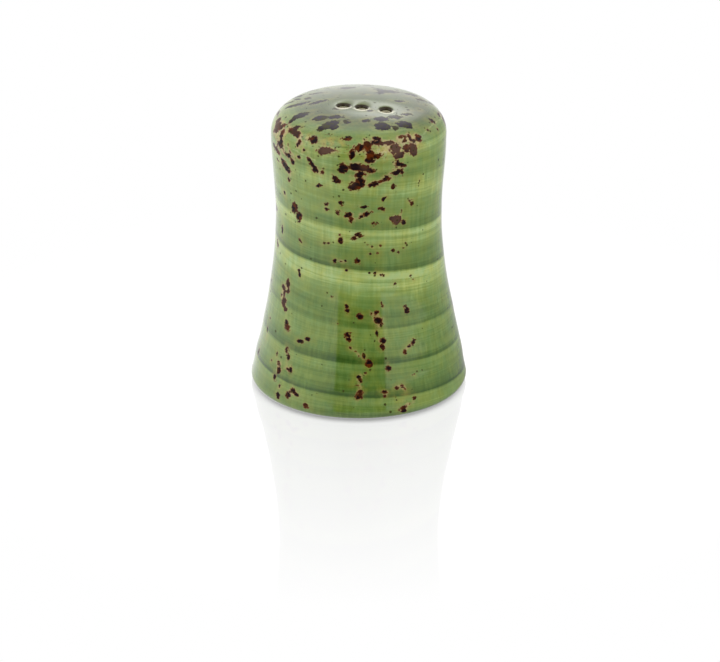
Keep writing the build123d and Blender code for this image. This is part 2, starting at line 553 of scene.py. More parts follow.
@dataclass(frozen=True)
class ClearGlaze:
    """Clear glossy glaze over white porcelain, inside the body and under it."""

    colour: Colour = (0.640, 0.600, 0.450)
    pooled: Colour = (0.470, 0.440, 0.320)
    roughness: float = 0.08

    def material(self) -> bpy.types.Material:
        """Builds the finish.

        Returns:
            The new material.
        """
        material, sheet = new_material("clear_glaze")
        place = sheet.position()
        pools = place.noise(0.25, 3.0).step(-0.25, 0.3)
        pinholes = place.cells(0.7)[0].step(0.10, 0.04)
        colour = sheet.blend(pools, self.colour, self.pooled)
        sheet.surface(sheet.wire("ShaderNodeBsdfPrincipled",
                                 {"Base Color": sheet.blend(pinholes, colour, self.pooled),
                                  "Roughness": self.roughness, "IOR": 1.52,
                                  "Normal": sheet.bump(place.noise(0.5, 2.0), 0.03)}))
        return material


@dataclass(frozen=True)
class BarePorcelain:
    """Fired porcelain without glaze, wiped clean on the ring that the shaker stands on."""

    colour: Colour = (0.720, 0.680, 0.590)
    grit: Colour = (0.520, 0.470, 0.380)
    roughness: float = 0.62

    def material(self) -> bpy.types.Material:
        """Builds the finish.

        Returns:
            The new material.
        """
        material, sheet = new_material("bare_porcelain")
        grains = sheet.position().noise(3.5, 3.0, 0.7)
        colour = sheet.blend(grains.step(0.0, 0.3), self.colour, self.grit)
        sheet.surface(sheet.wire("ShaderNodeBsdfPrincipled",
                                 {"Base Color": colour, "Roughness": self.roughness,
                                  "Normal": sheet.bump(grains, 0.05)}))
        return material


@dataclass(frozen=True)
class StopperSilicone:
    """Soft off-white silicone with a satin moulded skin and a little dust in its texture."""

    colour: Colour = (0.640, 0.625, 0.570)
    shaded: Colour = (0.500, 0.480, 0.420)
    roughness: float = 0.42
    depth: float = 1.5              # how far light goes into it

    def material(self) -> bpy.types.Material:
        """Builds the finish.

        Returns:
            The new material.
        """
        material, sheet = new_material("stopper_silicone")
        place = sheet.position()
        clouds = place.noise(0.22, 3.0).step(-0.3, 0.35)
        skin = place.noise(5.0, 2.0, 0.6)
        sheet.surface(sheet.wire("ShaderNodeBsdfPrincipled",
                                 {"Base Color": sheet.blend(clouds, self.colour, self.shaded),
                                  "Roughness": skin * 0.25 + self.roughness, "IOR": 1.41,
                                  "Subsurface Weight": 0.25,
                                  "Subsurface Scale": self.depth * METRES_PER_MM,
                                  "Subsurface Radius": (1.0, 0.85, 0.6),
                                  "Normal": sheet.bump(skin, 0.02)}))
        return material


# --- Shapes ----------------------------------------------------------------------------------


def arc(centre: Sequence[float], radius: float, start: float, end: float,
        spacing: float) -> np.ndarray:
    """Points along a circle's arc.

    Args:
        centre: its middle, as radius and height.
        radius: its radius.
        start: the first angle, in radians from the outward direction towards the top.
        end: the last angle.
        spacing: the distance between points, about.

    Returns:
        One row for each point.
    """
    count = max(2, int(round(abs(end - start) * radius / spacing)) + 1)
    angles = np.linspace(start, end, count)
    return np.column_stack((centre[0] + radius * np.cos(angles), centre[1] + radius * np.sin(angles)))


def bezier(corners: Sequence[Sequence[float]], spacing: float) -> np.ndarray:
    """Points along a cubic curve.

    Args:
        corners: its first end, its two handles and its last end.
        spacing: the distance between points, about.

    Returns:
        One row for each point.
    """
    first, second, third, last = (np.array(corner, float) for corner in corners)
    count = max(2, int(round(np.linalg.norm(last - first) / spacing)) + 1)
    t = np.linspace(0, 1, count)[:, None]
    return ((1 - t) ** 3 * first + 3 * (1 - t) ** 2 * t * second
            + 3 * (1 - t) * t * t * third + t ** 3 * last)


def line(start: Sequence[float], end: Sequence[float], spacing: float) -> np.ndarray:
    """Points along a straight line.

    Args:
        start: its first end.
        end: its last end.
        spacing: the distance between points, about.

    Returns:
        One row for each point.
    """
    start, end = np.array(start, float), np.array(end, float)
    count = max(2, int(round(np.linalg.norm(end - start) / spacing)) + 1)
    return start + np.linspace(0, 1, count)[:, None] * (end - start)


def chain(*stretches: np.ndarray) -> np.ndarray:
    """Stretches of points end to end, each shared point kept once."""
    return np.vstack([stretches[0]] + [stretch[1:] for stretch in stretches[1:]])


def path_length(points: np.ndarray) -> np.ndarray:
    """Distance along a line of points from the first to each of them."""
    steps = np.linalg.norm(np.diff(points, axis=0), axis=1)
    return np.concatenate(([0.0], np.cumsum(steps)))


@dataclass(frozen=True)
class BodyOutline:
    """Half section of the body, given as radius and height."""

    body_height: float
    foot_radius: float
    foot_edge_radius: float = 1.8
    flare_slope: float = 0.235
    waist_radius: float = 21.25
    waist_height: float = 47.0
    crown_radius: float = 22.3
    shoulder_radius: float = 6.8
    dome_radius: float = 80.0
    wall: float = 3.2
    floor_thickness: float = 3.4
    chamber_corner_radius: float = 4.0
    recess_depth: float = 3.0
    foot_ring_width: float = 2.4
    recess_edge_radius: float = 0.7
    fill_hole_radius: float = 11.0
    fill_hole_lip: float = 0.8
    crown_patch_radius: float = 13.0     # middle of the crown, which holds the pour holes
    fine: float = 0.26                   # spacing of the mesh's points: on tight roundings,
    even: float = 0.41                   # on the rest of the outside,
    coarse: float = 1.6                  # and where it is flat or hardly seen

    @property
    def dome_centre(self) -> float:
        """Height of the middle of the dome's sphere."""
        return self.body_height - self.dome_radius

    @property
    def shoulder_height(self) -> float:
        """Height at which the side turns into the shoulder."""
        return self.dome_centre + sqrt((self.dome_radius - self.shoulder_radius) ** 2
                                       - (self.crown_radius - self.shoulder_radius) ** 2)

    @property
    def dome_reach(self) -> float:
        """Angle from the axis to where the dome meets the shoulder."""
        return atan((self.crown_radius - self.shoulder_radius)
                    / (self.shoulder_height - self.dome_centre))

    @property
    def ring_outer_radius(self) -> float:
        """Outer radius of the flat ring that the body stands on."""
        return self.foot_radius - self.foot_edge_radius

    def dome_height(self, radius: np.ndarray, inset: float = 0.0) -> np.ndarray:
        """Height of the dome, or of its underside, at a distance from the axis."""
        return self.dome_centre + np.sqrt((self.dome_radius - inset) ** 2 - np.square(radius))

    def crown_to_foot(self, inset: float, dome: float, side: float) -> np.ndarray:
        """Outside or inside line from the edge of the crown's middle patch down to the foot.

        Args:
            inset: 0 for the outside, the wall's thickness for the chamber.
            dome: spacing of the points on the dome and the shoulder.
            side: spacing on the side.

        Returns:
            The points, the highest first.
        """
        shoulder_turn = pi / 2 - self.dome_reach
        patch_edge = pi / 2 - atan(self.crown_patch_radius
                                   / (self.dome_height(self.crown_patch_radius, inset)
                                      - self.dome_centre))
        foot_turn = atan(self.flare_slope)
        foot = (self.ring_outer_radius + self.foot_edge_radius * cos(foot_turn) - inset,
                self.foot_edge_radius * (1 + sin(foot_turn)))
        lower_handle = (self.waist_height - foot[1]) / 3
        upper_handle = (self.shoulder_height - self.waist_height) / 3
        waist = (self.waist_radius - inset, self.waist_height)
        crown = (self.crown_radius - inset, self.shoulder_height)
        return chain(
            arc((0, self.dome_centre), self.dome_radius - inset, patch_edge, shoulder_turn, dome),
            arc((self.crown_radius - self.shoulder_radius, self.shoulder_height),
                self.shoulder_radius - inset, shoulder_turn, 0, dome),
            bezier((crown, (crown[0], crown[1] - upper_handle),
                    (waist[0], waist[1] + upper_handle), waist), side),
            bezier((waist, (waist[0], waist[1] - lower_handle),
                    (foot[0] - self.flare_slope * lower_handle, foot[1] + lower_handle), foot), side))

    def outside(self) -> np.ndarray:
        """Draws the glazed outside, from the crown's middle patch to the foot ring.

        Returns:
            The points, the highest first.
        """
        foot_edge = arc((self.ring_outer_radius, self.foot_edge_radius), self.foot_edge_radius,
                        atan(self.flare_slope), -pi / 2, self.fine)
        return chain(self.crown_to_foot(0, self.even, self.even), foot_edge)

    def foot_ring(self) -> np.ndarray:
        """The bare ring that the body stands on, from its outer to its inner edge."""
        inner = self.ring_outer_radius - self.foot_ring_width
        return line((self.ring_outer_radius, 0), (inner, 0), self.even * 2)

    def underside(self) -> np.ndarray:
        """Draws the recess and the filling hole.

        Returns:
            The points, from the foot ring's inner edge up to the chamber.
        """
        edge_centre = self.ring_outer_radius - self.foot_ring_width
        recess = edge_centre - self.recess_edge_radius
        hole, lip = self.fill_hole_radius, self.fill_hole_lip
        top = self.recess_depth + self.floor_thickness
        return chain(
            arc((edge_centre, self.recess_edge_radius), self.recess_edge_radius,
                -pi / 2, -pi, self.fine),
            line((recess, self.recess_edge_radius), (recess, self.recess_depth), self.fine * 2),
            line((recess, self.recess_depth), (hole + lip, self.recess_depth), self.coarse),
            arc((hole + lip, self.recess_depth + lip), lip, -pi / 2, -pi, self.fine),
            line((hole, self.recess_depth + lip), (hole, top - lip), self.fine * 2),
            arc((hole + lip, top - lip), lip, pi, pi / 2, self.fine))

    def chamber(self) -> np.ndarray:
        """Draws the inside of the body.

        Returns:
            The points, from the filling hole's upper edge to the crown's middle patch.
        """
        down = self.crown_to_foot(self.wall, self.even * 2, self.coarse)
        top = self.recess_depth + self.floor_thickness
        corner_height = top + self.chamber_corner_radius
        wall_radius = float(np.interp(-corner_height, -down[:, 1], down[:, 0]))
        corner = arc((wall_radius - self.chamber_corner_radius, corner_height),
                     self.chamber_corner_radius, -pi / 2, 0, self.even)
        floor = line((self.fill_hole_radius + self.fill_hole_lip, top),
                     (wall_radius - self.chamber_corner_radius, top), self.coarse)
        up = down[down[:, 1] > corner_height][::-1]
        return chain(floor, corner, np.vstack((corner[-1:], up)))


class MeshDraft:
    """A mesh while it is being built, with a flat map of its faces for the finish."""

    def __init__(self) -> None:
        """Starts empty."""
        self.points: list[np.ndarray] = []
        self.count = 0
        self.faces: list[list[int]] = []
        self.skins: list[int] = []
        self.map_corners: list[tuple[float, float]] = []

    def add(self, points: np.ndarray) -> np.ndarray:
        """Adds points.

        Args:
            points: the new points, one row for each.

        Returns:
            Their numbers.
        """
        self.points.append(np.asarray(points, float))
        first, self.count = self.count, self.count + len(points)
        return np.arange(first, self.count)

    def add_ring(self, radius: float, height: float, segments: int) -> np.ndarray:
        """Adds a circle of points about the axis.

        Args:
            radius: its radius.
            height: its height above the table.
            segments: how many points it has.

        Returns:
            Their numbers.
        """
        turn = np.linspace(0, 2 * pi, segments, endpoint=False) - pi
        points = np.column_stack((radius * np.sin(turn), -radius * np.cos(turn),
                                  np.full(segments, height)))
        return self.add(points)

    def add_faces(self, faces: np.ndarray, corners: np.ndarray, skin: Skin) -> None:
        """Adds faces.

        Args:
            faces: the point numbers of each face, in one row.
            corners: a place on the flat map for each corner of each face.
            skin: what covers the faces.
        """
        self.faces.extend(faces.tolist())
        self.skins.extend([skin.value] * len(faces))
        self.map_corners.extend(map(tuple, corners.reshape(-1, 2)))

    def skin_rings(self, rings: Sequence[np.ndarray], rows: np.ndarray, skin: Skin,
                   patch: "MapPatch", flip: bool = False) -> None:
        """Joins closed rings with strips of four-sided faces.

        Args:
            rings: the rings' point numbers, all of one length.
            rows: each ring's place across the strip, from 0 to 1.
            skin: what covers the faces.
            patch: where the strip lies on the flat map.
            flip: turns the faces over.
        """
        segments = len(rings[0])
        place = np.arange(segments)
        for upper, lower, top, bottom in zip(rings, rings[1:], rows, rows[1:]):
            faces = np.column_stack((upper, lower, np.roll(lower, -1), np.roll(upper, -1)))
            left, right = place / segments, (place + 1) / segments
            corners = np.stack([np.column_stack((left, np.full(segments, top))),
                                np.column_stack((left, np.full(segments, bottom))),
                                np.column_stack((right, np.full(segments, bottom))),
                                np.column_stack((right, np.full(segments, top)))], axis=1)
            if flip:
                faces, corners = faces[:, ::-1], corners[:, ::-1]
            self.add_faces(faces, patch.place(corners), skin)

    def positions(self) -> np.ndarray:
        """Returns all points as one array."""
        return np.vstack(self.points)

    def build(self, name: str, positions: np.ndarray,
              materials: Sequence[bpy.types.Material]) -> bpy.types.Object:
        """Turns the draft into a smooth-shaded object in metres.

        Args:
            name: the object's name.
            positions: the final place of each point, in millimetres.
            materials: one material for each kind of skin, in the order of their values.

        Returns:
            The new object.
        """
        mesh = bpy.data.meshes.new(name)
        mesh.from_pydata((positions * METRES_PER_MM).tolist(), [], self.faces)
        mesh.polygons.foreach_set("material_index", self.skins)
        mesh.polygons.foreach_set("use_smooth", [True] * len(self.faces))
        flat_map = mesh.uv_layers.new(name="OFBake")
        flat_map.data.foreach_set("uv", np.array(self.map_corners, np.float32).ravel())
        for material in materials:
            mesh.materials.append(material)
        mesh.validate()
        made = bpy.data.objects.new(name, mesh)
        bpy.context.scene.collection.objects.link(made)
        return made


@dataclass(frozen=True)
class MapPatch:
    """A box on the flat map, in shares of the map's width and height."""

    left: float
    low: float
    width: float
    height: float

    def place(self, corners: np.ndarray) -> np.ndarray:
        """Returns corners given from 0 to 1 within this box as places on the map."""
        return np.asarray(corners) * (self.width, self.height) + (self.left, self.low)


def write_number(piece: bpy.types.Object, name: str, values: np.ndarray) -> None:
    """Stores one number for each vertex of a mesh, for its finish to read."""
    attribute = piece.data.attributes.new(name, "FLOAT", "POINT")
    attribute.data.foreach_set("value", np.asarray(values, np.float32))


# --- Flakes ----------------------------------------------------------------------------------


@dataclass(frozen=True)
class Flake:
    """One dark flake: its middle and the two half-axes along the surface, in millimetres."""

    centre: np.ndarray
    along: np.ndarray
    across: np.ndarray
    outward: np.ndarray
    half_wide: float
    half_tall: float
    corner: float = 1.7

    @property
    def coarseness(self) -> float:
        """Share of the full raggedness that its edge has; a small flake has less."""
        return min(1.0, min(self.half_wide, self.half_tall) / 0.6)

    def distance(self, positions: np.ndarray) -> np.ndarray:
        """Measures how far each point lies outside the flake.

        Args:
            positions: the points, one row for each.

        Returns:
            The distances, about; below 0 is inside.
        """
        offset = positions - self.centre
        thick = max(self.half_wide, self.half_tall)
        shares = np.stack((offset @ self.along / self.half_wide,
                           offset @ self.across / self.half_tall,
                           offset @ self.outward / thick))
        reach = np.sum(np.abs(shares) ** self.corner, axis=0) ** (1 / self.corner)
        return (reach - 1) * min(self.half_wide, self.half_tall)


@dataclass
class FlakePattern:
    """Where the dark flakes lie.

    Side flakes are rows of turn in degrees, height, width, tallness and, where it is tilted,
    tilt in degrees. Crown flakes are rows of x, y, width, depth and tilt. Those that no list
    names are drawn from a seeded lot: the shoulder carries most of them, and the sides few.
    """

    outline: BodyOutline
    seed: int = 20
    side_lot: int = 64
    shoulder_lot: int = 46
    crown_lot: int = 22
    listed_turns: float = 68.0     # the lists reach so far to the left
    clear_turns: float = 88.0      # and the right is left clear so far
    # where the drawn flakes lie: lowest place and spread on the side; lowest, likeliest and
    # highest place from the shoulder's foot; distance from the axis and spread on the crown
    side_heights: tuple = (3.0, 58.0)
    shoulder_heights: tuple = (-7.0, 3.0, 5.0)
    crown_radii: tuple = (12.0, 8.0)
    far_distance: float = 6.0      # no flake is told apart farther away than this
    crowd_reach: float = 0.8

    crown: tuple = (
        (-14.9, 0.8, 5, 1.7, 14), (-10.3, 0.3, 4.5, 1.6, 22), (-11.6, 8, 2.6, 1.5, 8),
        (-14.6, -6.9, 5.2, 2.7, 24), (-17, -8.6, 2.8, 1.7, 20), (-9.8, -10.2, 3.5, 2.9, 8),
        (-5.7, -10.3, 3.5, 2.2, -6), (-7.6, -14.2, 6.4, 3.1, 34), (-6, -15.2, 2.8, 2.7),
        (-3, -13, 1.7, 2, 30), (1.8, -12.6, 2.4, 1.5, 24), (5.6, -11.4, 4.3, 2.3, -4),
        (9.2, -9.6, 3.5, 2, 10), (11.8, -7.2, 2.2, 1.2, 16), (6, -14.9, 4.8, 3.7, -4),
        (9.2, -15.2, 1.9, 1.7), (11.6, -12.8, 4.5, 3.2, 6), (10.2, 1, 2.6, 1.5, 8),
        (-2.8, 11.6, 4.3, 2.9, 10), (7.2, 8.6, 6.5, 3.2, 10), (5.4, 6.4, 2.6, 1.7),
        (1.1, 4.8, 1.9, 1.1), (4.6, 10.4, 2.4, 1.6, -10), (15.8, 4.8, 2.4, 1.2, -20),
        (18.6, -7, 2.6, 2, 40), (20.6, -1, 0.9, 3.2), (-20.8, 1, 0.9, 3.6), (12.6, -4.4, 0.7, 0.6),
        (15.2, -3, 0.6, 0.7), (16.8, 1.2, 1, 0.6), (-12.4, 12, 3, 0.9, 20), (-8, 12.8, 2, 0.8, 10),
        (3.6, 12.4, 1.6, 0.8), (-5.6, -5.1, 1.6, 1.5), (2.6, -6.8, 1.8, 1, -5), (-4.5, 4.2, 1.3, 1))
    shoulder: tuple = (
        (-79, 72.4, 2, 1.8), (-72, 71.2, 1.5, 2.8, 10), (-67, 72.2, 1.4, 2.2, -10),
        (-63, 71, 1.8, 2.4, -15), (-75, 70, 1.6, 1.2), (-52, 73.5, 3.4, 1.2, 30),
        (-53, 72.5, 3.6, 1.7, -8), (-47, 72.4, 1.8, 1.4, -30), (-43, 71, 1, 1.8, -10),
        (-33, 72.2, 2.1, 1.9, 10), (-23, 70.2, 3.6, 1.7, 4), (-19, 70.6, 2.6, 0.9, 6),
        (-8, 73.4, 2.2, 1.2, 16), (0, 71.4, 2.4, 1.8, 10), (13, 73.2, 1.8, 0.9, -10),
        (6, 71.9, 1.8, 3, 12), (8, 69.8, 2.2, 2.8), (12, 72.4, 2.8, 1.3, -4), (20, 72.1, 2.8, 1, 4),
        (25, 70.6, 3, 2.2, -8), (27, 69, 2.4, 1.6, 10), (33, 70.2, 2.2, 1.8), (38, 69.4, 2.2, 3.2, 10),
        (33, 72, 1.4, 0.7, 30), (35, 72.7, 1.3, 0.7, 40), (38, 72.4, 1, 1.6, 10),
        (31, 72.9, 1, 0.6, 20), (40, 71.4, 1.3, 0.8, 30), (45, 71.7, 2, 1.9, -20), (57, 72.4, 0.7, 0.6),
        (68, 71.4, 0.7, 0.8), (-4, 70, 1.3, 2.2, -16), (7, 68.5, 2.2, 1.8), (11, 69.5, 2.6, 1.2, 10),
        (-10, 66.2, 2.5, 2.5), (-3, 66.8, 2.6, 1.6, -8), (2, 66.4, 3.4, 2, -10),
        (7, 65.8, 2.4, 1.1, -6), (1, 64.6, 2.4, 1.2, 8), (-2, 61.6, 3.6, 2.2, 12),
        (1, 62.8, 3, 2.2, 34), (10, 61.9, 2.2, 1.2, 12), (14, 62.5, 2.4, 0.9, 14),
        (18, 63.2, 1.8, 1.1, -6), (26, 66.8, 2, 1.3, -14), (29, 66.2, 2, 0.8, -20),
        (25, 64.6, 2.2, 1.3), (29, 64.3, 1.1, 1.7, 20), (-32, 66.4, 2.6, 1.1, -56),
        (-29, 65, 1.8, 1.3, -40), (-24, 64.6, 0.8, 1.2, -10), (-15, 63, 2.2, 1.2, -36),
        (-26, 60.9, 2.4, 0.9, 12), (-52, 66.6, 2.6, 1.1, -4), (-48, 65.4, 1.4, 1.6, -30),
        (-59, 63.8, 1.5, 1.6, 20), (-42, 67.2, 1, 0.8, -10), (-38, 69.4, 0.8, 0.7),
        (-53, 69.5, 0.7, 0.7), (-50, 67.7, 0.8, 0.6, -20), (-58, 67.6, 0.7, 0.6),
        (-44, 70, 0.9, 0.6, -20), (-53, 61.8, 0.9, 0.8, -20), (-53, 59.8, 0.9, 1.1, -30),
        (-60, 55.6, 0.7, 1), (23, 60.8, 1, 1.2), (-66, 67.5, 1.2, 0.9), (44, 60.5, 0.5, 0.7))
    side: tuple = (
        (-49, 52.8, 1.9, 2.6, -30), (-45, 50.8, 2, 3.4, -38), (-66, 44.4, 0.8, 2.2),
        (-44, 44.2, 1.6, 0.9, -40), (-12, 56.7, 1.4, 1.2), (-14, 54.2, 0.9, 1.2, 20),
        (-22, 56, 1.2, 0.8, 20), (-22, 54.6, 1.1, 0.8, -10), (-7, 53.6, 1.7, 1.5, 20),
        (-5, 52.4, 1.1, 1.5), (3, 55.8, 1.9, 0.7), (5, 53.9, 2.4, 1.2, 10), (2, 53.2, 1.3, 0.7, 30),
        (16, 54.9, 1.5, 1.1, -20), (26, 51.5, 2.6, 2.6, 20), (23, 52, 1.2, 1.2),
        (32, 50.4, 0.9, 1.5, 20), (30, 53.6, 0.5, 0.8), (38, 55.1, 1.1, 1.4), (36, 55.8, 0.8, 0.5),
        (11, 51, 1.4, 0.9, -20), (17, 57.6, 0.9, 1.2, -30), (0, 48.1, 2, 1.3, 4),
        (-3, 47.3, 1.4, 0.9, 20), (-12, 46.4, 1.2, 1.8, -10), (-13, 48, 0.7, 0.7),
        (-24, 45.2, 0.9, 0.6), (-21, 45.4, 0.6, 0.5), (24, 43.2, 0.8, 0.7), (28, 42.6, 0.9, 0.9),
        (32, 43.4, 0.6, 0.6), (34, 44.5, 0.6, 0.7, 20), (6, 45.4, 0.6, 0.5), (9, 44.9, 0.5, 0.5),
        (15, 44.9, 0.7, 0.6, 20), (8, 43, 0.6, 0.5), (13, 43.1, 0.6, 0.7), (-1, 41.2, 1.3, 1.3),
        (-16, 40.8, 0.9, 0.8), (-9, 41.2, 0.6, 0.5), (-12, 40.9, 0.6, 0.4), (-44, 36.4, 0.8, 1, -20),
        (-43, 35.4, 0.8, 1.2, 20), (-8, 38.6, 0.6, 0.6), (7, 37.9, 0.6, 0.5), (11, 37.9, 0.7, 0.7),
        (15, 37.2, 0.7, 0.6), (17, 36.9, 0.6, 0.6), (25, 34.3, 1.3, 0.9, 20), (37, 35.4, 0.7, 0.6),
        (39, 34.5, 0.8, 0.6, 20), (-54, 31.6, 1.2, 2.2, 10), (-53, 29.8, 0.9, 1.2, -10),
        (-59, 30.2, 1.3, 1.2, 10), (-57, 28.8, 1.2, 2.2, -10), (-56, 26.6, 1.9, 2.4),
        (-54, 25, 1.6, 1.6, 10), (-60, 27.6, 0.8, 1), (-51, 21.6, 1.5, 1.4, 8), (-49, 20.4, 1.7, 1.4),
        (-37, 18.4, 1.6, 0.9, 10), (-33, 19.3, 1.4, 0.9, 20), (-47, 14.8, 1.2, 1.6, 10),
        (-45, 13.4, 0.9, 1.8, -10), (-52, 10.6, 1.2, 1.1), (-51, 9.2, 1.4, 1.9), (-44, 10.4, 1.4, 0.8),
        (-42, 10.2, 1.1, 1.5), (-53, 7, 1.3, 1.9, 10), (-48, 5.4, 0.6, 0.9), (-48, 3.2, 1.2, 1.9),
        (-41, 4.2, 1.5, 1.8), (-38, 5.6, 1.2, 1.4), (-36, 4.9, 1.4, 0.8, -20), (-29, 2.6, 1.4, 1, -20),
        (-59, 10.4, 0.7, 0.6), (-72, 16.4, 0.6, 1.8), (-55, 12.6, 0.6, 1), (-8, 29.4, 1, 0.8),
        (-7, 28, 1.3, 1, -10), (-18, 31.4, 0.7, 0.5, -30), (1, 26.6, 1.5, 1.2, -10),
        (11, 27.6, 1.1, 1.2), (8, 27.4, 0.6, 0.8, 20), (12, 25.6, 2, 1.7, 10), (14, 24.3, 1, 1.2),
        (15, 29.6, 0.6, 1.4, 10), (31, 28.2, 0.9, 0.6), (32, 26.8, 1.3, 1.3), (-7, 22, 1.8, 1.1, 8),
        (-6, 20.8, 1, 1.1), (-13, 24.6, 0.6, 0.5), (11, 22.3, 0.5, 1.5, 10), (15, 20.2, 1.5, 1.8),
        (14, 18.6, 1.1, 1.5), (34, 18.4, 1.5, 1.2, 30), (31, 17.8, 1.2, 0.7, 20),
        (28, 16.6, 1.2, 1.3, 30), (-5, 18.6, 0.6, 0.7, 30), (-2, 17.8, 0.8, 0.5, -30),
        (0, 16.6, 0.5, 0.6), (3, 16.8, 0.6, 1.2), (6, 14.6, 1.5, 1.6), (4, 12.4, 0.8, 0.6),
        (17, 13, 1.2, 1.8), (32, 10.4, 0.8, 0.5), (0, 11.4, 0.9, 0.6), (1, 10.4, 0.8, 1),
        (-1, 9.2, 0.9, 0.6), (1, 7.6, 1.2, 1), (0, 6.2, 1.7, 1.5), (14, 7.2, 1.5, 1), (14, 6.2, 0.9, 1),
        (21, 7.8, 1.4, 0.8), (24, 8.2, 1.2, 0.8, -10), (26, 7, 0.6, 0.6), (31, 4.2, 1.2, 0.9, 20),
        (28, 3.2, 0.7, 0.5), (24, 2.6, 1.9, 1, 20), (24, 1.8, 1.4, 1.2))

    def on_side(self, turn: float, height: float, wide: float = 1.0, tall: float = 1.0,
                tilt: float = 0.0) -> Flake:
        """Lays a flake on the side or the shoulder.

        Args:
            turn: degrees to the right of the front.
            height: height of its middle above the table.
            wide: its whole width, around the body.
            tall: its whole height, along the side.
            tilt: degrees by which its right end is raised.

        Returns:
            The flake.
        """
        skin = self.outline.outside()
        radius = float(np.interp(-height, -skin[:, 1], skin[:, 0]))
        lower = float(np.interp(-(height - 0.2), -skin[:, 1], skin[:, 0]))
        upper = float(np.interp(-(height + 0.2), -skin[:, 1], skin[:, 0]))
        angle = radians(turn)
        away = np.array((sin(angle), -cos(angle), 0.0))
        level = np.array((cos(angle), sin(angle), 0.0))
        rising = away * (upper - lower) + np.array((0.0, 0.0, 0.4))
        return self.tilted(away * radius + np.array((0.0, 0.0, height)), level,
                           rising / np.linalg.norm(rising), wide, tall, tilt)

    def on_crown(self, x: float, y: float, wide: float, deep: float, tilt: float = 0.0) -> Flake:
        """Lays a flake on the dome.

        Args:
            x: place of its middle to the right of the axis.
            y: place of its middle behind the axis.
            wide: its whole width.
            deep: its whole depth.
            tilt: degrees by which its right end is turned back.

        Returns:
            The flake.
        """
        outline = self.outline
        height = float(outline.dome_height(np.hypot(x, y)))
        outward = np.array((x, y, height - outline.dome_centre)) / outline.dome_radius
        level = np.array((outward[2], 0.0, -outward[0]))
        level /= np.linalg.norm(level)
        return self.tilted(np.array((x, y, height)), level, np.cross(outward, level),
                           wide, deep, tilt)

    @staticmethod
    def tilted(centre: np.ndarray, level: np.ndarray, rising: np.ndarray, wide: float,
               tall: float, tilt: float) -> Flake:
        """Makes a flake with its two axes turned by the tilt.

        Args:
            centre: its middle.
            level: the level direction along the surface.
            rising: the rising direction along the surface.
            wide: its whole width.
            tall: its whole height.
            tilt: degrees by which its level axis is raised.

        Returns:
            The flake.
        """
        angle = radians(tilt)
        along = level * cos(angle) + rising * sin(angle)
        across = rising * cos(angle) - level * sin(angle)
        return Flake(centre, along, across, np.cross(along, across), wide / 2, tall / 2)

    def drawn(self) -> list[Flake]:
        """Draws the flakes that no list names from the seeded lot.

        Returns:
            The flakes of the far side and the rest of the crown.
        """
        lot = np.random.default_rng(self.seed)
        flakes = []
        hidden = 360 - self.listed_turns - self.clear_turns
        low, spread = self.side_heights
        inner, width = self.crown_radii
        for _ in range(self.side_lot):
            turn = self.clear_turns + lot.random() * hidden
            height = low + spread * lot.random()
            size = 0.5 + 2.0 * lot.random() ** 2
            flakes.append(self.on_side(turn, height, size * (0.7 + 0.5 * lot.random()),
                                       size * (0.7 + 0.9 * lot.random()), lot.uniform(-40, 40)))
        for _ in range(self.shoulder_lot):
            turn = self.clear_turns + lot.random() * (hidden + 12)
            height = self.outline.shoulder_height + lot.triangular(*self.shoulder_heights)
            size = 1.0 + 2.6 * lot.random()
            flakes.append(self.on_side(turn, height, size * (0.9 + 0.6 * lot.random()),
                                       size * (0.5 + 0.5 * lot.random()), lot.uniform(-30, 30)))
        for _ in range(self.crown_lot):
            angle, radius = lot.uniform(-0.15, pi + 0.15), inner + width * lot.random()
            flakes.append(self.on_crown(radius * cos(angle), radius * sin(angle),
                                        lot.uniform(1.2, 4.2), lot.uniform(0.8, 2.2),
                                        lot.uniform(-30, 30)))
        return flakes

    def distances(self, positions: np.ndarray) -> tuple[np.ndarray, np.ndarray, np.ndarray]:
        """Measures how far each point is from the flakes.

        Args:
            positions: the points, one row for each.

        Returns:
            The distance to the nearest flake, cut off well outside it, how ragged that
            flake is, and how much the other flakes crowd the point, from 0 upwards.
        """
        flakes = [self.on_crown(*row) for row in self.crown]
        flakes += [self.on_side(*row) for row in self.shoulder + self.side]
        flakes += self.drawn()
        nearest = np.full(len(positions), self.far_distance)
        ragged = np.ones(len(positions))
        crowd = np.zeros(len(positions))
        for flake in flakes:
            distance = flake.distance(positions)
            ragged[distance < nearest] = flake.coarseness
            nearest = np.minimum(nearest, distance)
            crowd += np.exp(-np.maximum(distance, 0) / self.crowd_reach)
        log.info("%d flakes laid on the glaze", len(flakes))
        return nearest, ragged, crowd - np.exp(-np.maximum(nearest, 0) / self.crowd_reach)


# --- Pieces ----------------------------------------------------------------------------------


